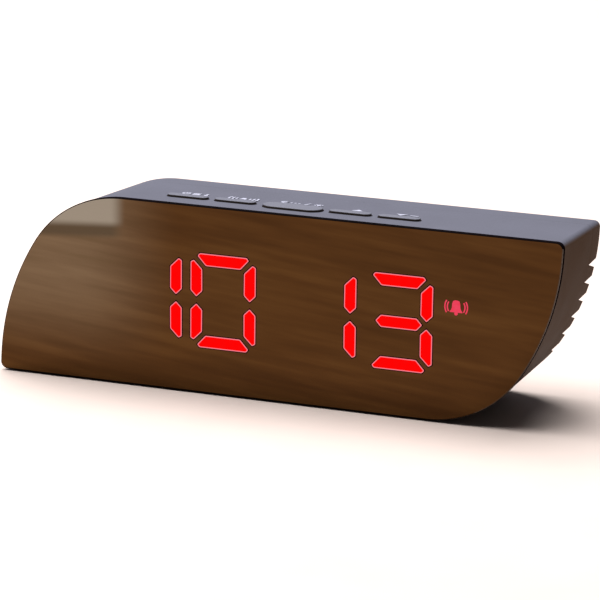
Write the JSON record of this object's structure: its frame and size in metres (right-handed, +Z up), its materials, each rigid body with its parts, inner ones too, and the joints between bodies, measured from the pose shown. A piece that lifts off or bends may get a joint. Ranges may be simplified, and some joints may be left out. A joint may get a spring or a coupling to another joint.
{
  "type": "alarm clock",
  "caption": "Digital mirror alarm clock: leaf-shaped bronze acrylic front over a red LED display, sloping grey case with keys on top, louvred rear cover, hinged battery door.",
  "frame": {"origin": "under the middle of the clock, level with the underside of its feet", "axes": "+X to the right of somebody facing the clock (its width), +Y from the front panel to the rear cover (its depth), +Z up"},
  "size_m": [0.165, 0.0384, 0.0538],
  "materials": {
    "mirror_acrylic": "bronze half-mirror acrylic, polished",
    "case_plastic": "fine moulded texture, near-black with a grey cast on top",
    "button_plastic": "satin moulded, near-black with a grey cast on top",
    "black_plastic": "moulded, black",
    "light_guide": "diffusing acrylic, lit red",
    "circuit_board": "green solder mask",
    "foam_tape": "foam adhesive tape",
    "steel": "nickel plated",
    "battery_wrap": "printed film wrap over a can, no print",
    "red_wire": "PVC insulation, red",
    "black_wire": "PVC insulation, black",
    "grey_wire": "flat ribbon, grey",
    "foot_rubber": "matt rubber"
  },
  "bodies": {
    "housing": {"front_panel": "mirror_acrylic", "panel_tape": "foam_tape", "main_housing": "case_plastic", "rear_cover": "case_plastic", "display_reflector": "black_plastic", "display_board": "circuit_board", "colon_guide": "light_guide", "alarm_guide": "light_guide", "controller_chip": "black_plastic", "clock_crystal": "steel", "alarm_buzzer": "black_plastic", "button_board": "circuit_board", "button_ribbon": "grey_wire", "display_screw_1": "steel", "display_screw_2": "steel", "button_board_screw_1": "steel", "button_board_screw_2": "steel", "battery_1": "battery_wrap", "battery_2": "battery_wrap", "battery_3": "battery_wrap", "battery_contact_positive": "steel", "battery_contact_negative": "steel", "battery_bridge_left": "steel", "battery_bridge_right": "steel", "power_inlet": "steel", "inlet_tongue": "black_plastic", "power_board": "circuit_board", "battery_lead_red": "red_wire", "battery_lead_black": "black_wire", "power_lead_red": "red_wire", "power_lead_black": "black_wire", "digit_guide_1": "light_guide", "digit_guide_2": "light_guide", "digit_guide_3": "light_guide", "digit_guide_4": "light_guide", "cover_screw_1": "steel", "cover_screw_2": "steel", "cover_screw_3": "steel", "cover_screw_4": "steel", "foot_1": "foot_rubber", "foot_2": "foot_rubber", "foot_3": "foot_rubber", "foot_4": "foot_rubber", "switch_body_1": "steel", "switch_body_2": "steel", "switch_body_3": "steel", "switch_body_4": "steel", "switch_body_5": "steel"},
    "mode_button": {"mode_button": "button_plastic", "switch_plunger_1": "black_plastic"},
    "alarm_button": {"alarm_button": "button_plastic", "switch_plunger_2": "black_plastic"},
    "snooze_button": {"snooze_button": "button_plastic", "switch_plunger_3": "black_plastic"},
    "up_button": {"up_button": "button_plastic", "switch_plunger_4": "black_plastic"},
    "down_button": {"down_button": "button_plastic", "switch_plunger_5": "black_plastic"},
    "battery_door": {"battery_door": "case_plastic"}
  },
  "joints": [
    {"name": "mode_press", "type": "slide", "parent": "housing", "child": "mode_button", "axis": [0, 0, -1], "range_m": [0, 0.0005], "stiffness_N_per_m": 800, "springref_m": -0.0002},
    {"name": "alarm_press", "type": "slide", "parent": "housing", "child": "alarm_button", "axis": [0, 0, -1], "range_m": [0, 0.0005], "stiffness_N_per_m": 800, "springref_m": -0.0002},
    {"name": "snooze_press", "type": "slide", "parent": "housing", "child": "snooze_button", "axis": [0, 0, -1], "range_m": [0, 0.0005], "stiffness_N_per_m": 800, "springref_m": -0.0002},
    {"name": "up_press", "type": "slide", "parent": "housing", "child": "up_button", "axis": [0, 0, -1], "range_m": [0, 0.0005], "stiffness_N_per_m": 800, "springref_m": -0.0002},
    {"name": "down_press", "type": "slide", "parent": "housing", "child": "down_button", "axis": [0, 0, -1], "range_m": [0, 0.0005], "stiffness_N_per_m": 800, "springref_m": -0.0002},
    {"name": "battery_door_swing", "type": "hinge", "parent": "housing", "child": "battery_door", "pos_m": [0, 0.01825, 0.0452], "axis": [1, 0, 0], "range_deg": [0, 80]}
  ]
}
